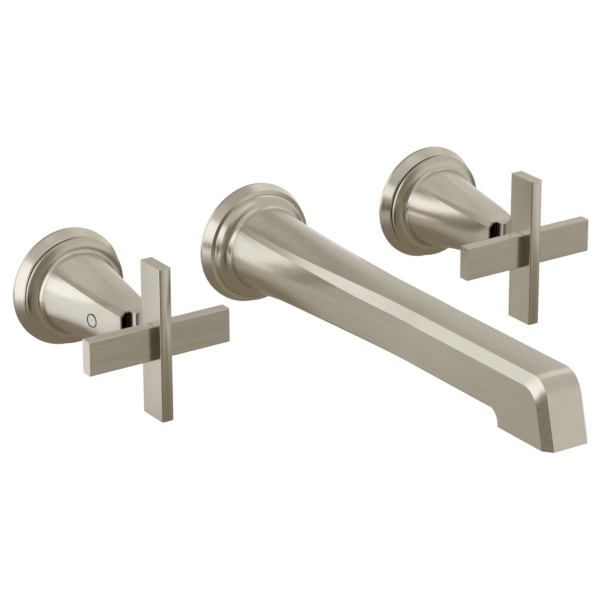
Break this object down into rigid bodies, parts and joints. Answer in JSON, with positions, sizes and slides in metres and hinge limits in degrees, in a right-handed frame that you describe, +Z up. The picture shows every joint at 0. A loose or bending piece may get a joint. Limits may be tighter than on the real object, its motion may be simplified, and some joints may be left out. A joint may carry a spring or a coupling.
{
  "type": "wall mounted bath faucet",
  "caption": "Wall mounted bath faucet with two cross handles on faceted bells beside a long square spout, and its valve set behind the wall.",
  "frame": {"origin": "on the finished wall, at the axis of the spout's round flange, midway between the handle axes", "axes": "+X to the right along the wall, +Y into the wall, +Z up; the spout points toward -Y"},
  "size_m": [0.2746, 0.3574, 0.098],
  "materials": {
    "brushed_nickel": "brushed nickel over cast brass",
    "brass": "as machined",
    "steel": "zinc plated",
    "rubber": "matt",
    "foam": "closed cell foam",
    "ceramic": "lapped",
    "black_plastic": "moulded",
    "aerator_metal": "plated"
  },
  "bodies": {
    "wall_set": {"aerator_gasket": "rubber", "aerator_housing": "aerator_metal", "aerator_insert": "black_plastic", "bracket_screws": "steel", "center_tee": "brass", "cold_bonnet_nut": "brass", "cold_cartridge_body": "brass", "cold_fixed_disc": "ceramic", "cold_flange_gasket": "foam", "cold_flange_ring": "brushed_nickel", "cold_glide_ring": "black_plastic", "cold_seat_seal": "rubber", "cold_trim_sleeve": "brass", "cold_valve_body": "brass", "crossover_tubes": "brass", "hot_bonnet_nut": "brass", "hot_cartridge_body": "brass", "hot_fixed_disc": "ceramic", "hot_flange_gasket": "foam", "hot_flange_ring": "brushed_nickel", "hot_glide_ring": "black_plastic", "hot_seat_seal": "rubber", "hot_trim_sleeve": "brass", "hot_valve_body": "brass", "inlet_fittings": "brass", "mounting_bracket": "steel", "spout_adapter": "brass", "spout_body": "brushed_nickel", "spout_flange_gasket": "foam", "spout_nipple": "brass", "spout_o_rings": "rubber", "spout_set_screw": "steel", "valve_screws": "steel"},
    "hot_handle": {"hot_cartridge_stem": "brass", "hot_moving_disc": "ceramic", "hot_stem_o_ring": "rubber", "hot_stem_extension": "brass", "hot_extension_screw": "steel", "hot_handle_bell": "brushed_nickel", "hot_vertical_bar": "brushed_nickel", "hot_horizontal_bar": "brushed_nickel", "hot_cross_screw": "steel", "hot_set_screw": "steel", "hot_set_screw_cap": "brushed_nickel"},
    "cold_handle": {"cold_cartridge_stem": "brass", "cold_moving_disc": "ceramic", "cold_stem_o_ring": "rubber", "cold_stem_extension": "brass", "cold_extension_screw": "steel", "cold_handle_bell": "brushed_nickel", "cold_vertical_bar": "brushed_nickel", "cold_horizontal_bar": "brushed_nickel", "cold_cross_screw": "steel", "cold_set_screw": "steel", "cold_set_screw_cap": "brushed_nickel"}
  },
  "joints": [
    {"name": "hot_handle_turn", "type": "hinge", "parent": "wall_set", "child": "hot_handle", "pos_m": [-0.1016, 0, 0], "axis": [0, -1, 0], "range_deg": [0, 90]},
    {"name": "cold_handle_turn", "type": "hinge", "parent": "wall_set", "child": "cold_handle", "pos_m": [0.1016, 0, 0], "axis": [0, -1, 0], "range_deg": [-90, 0]}
  ]
}
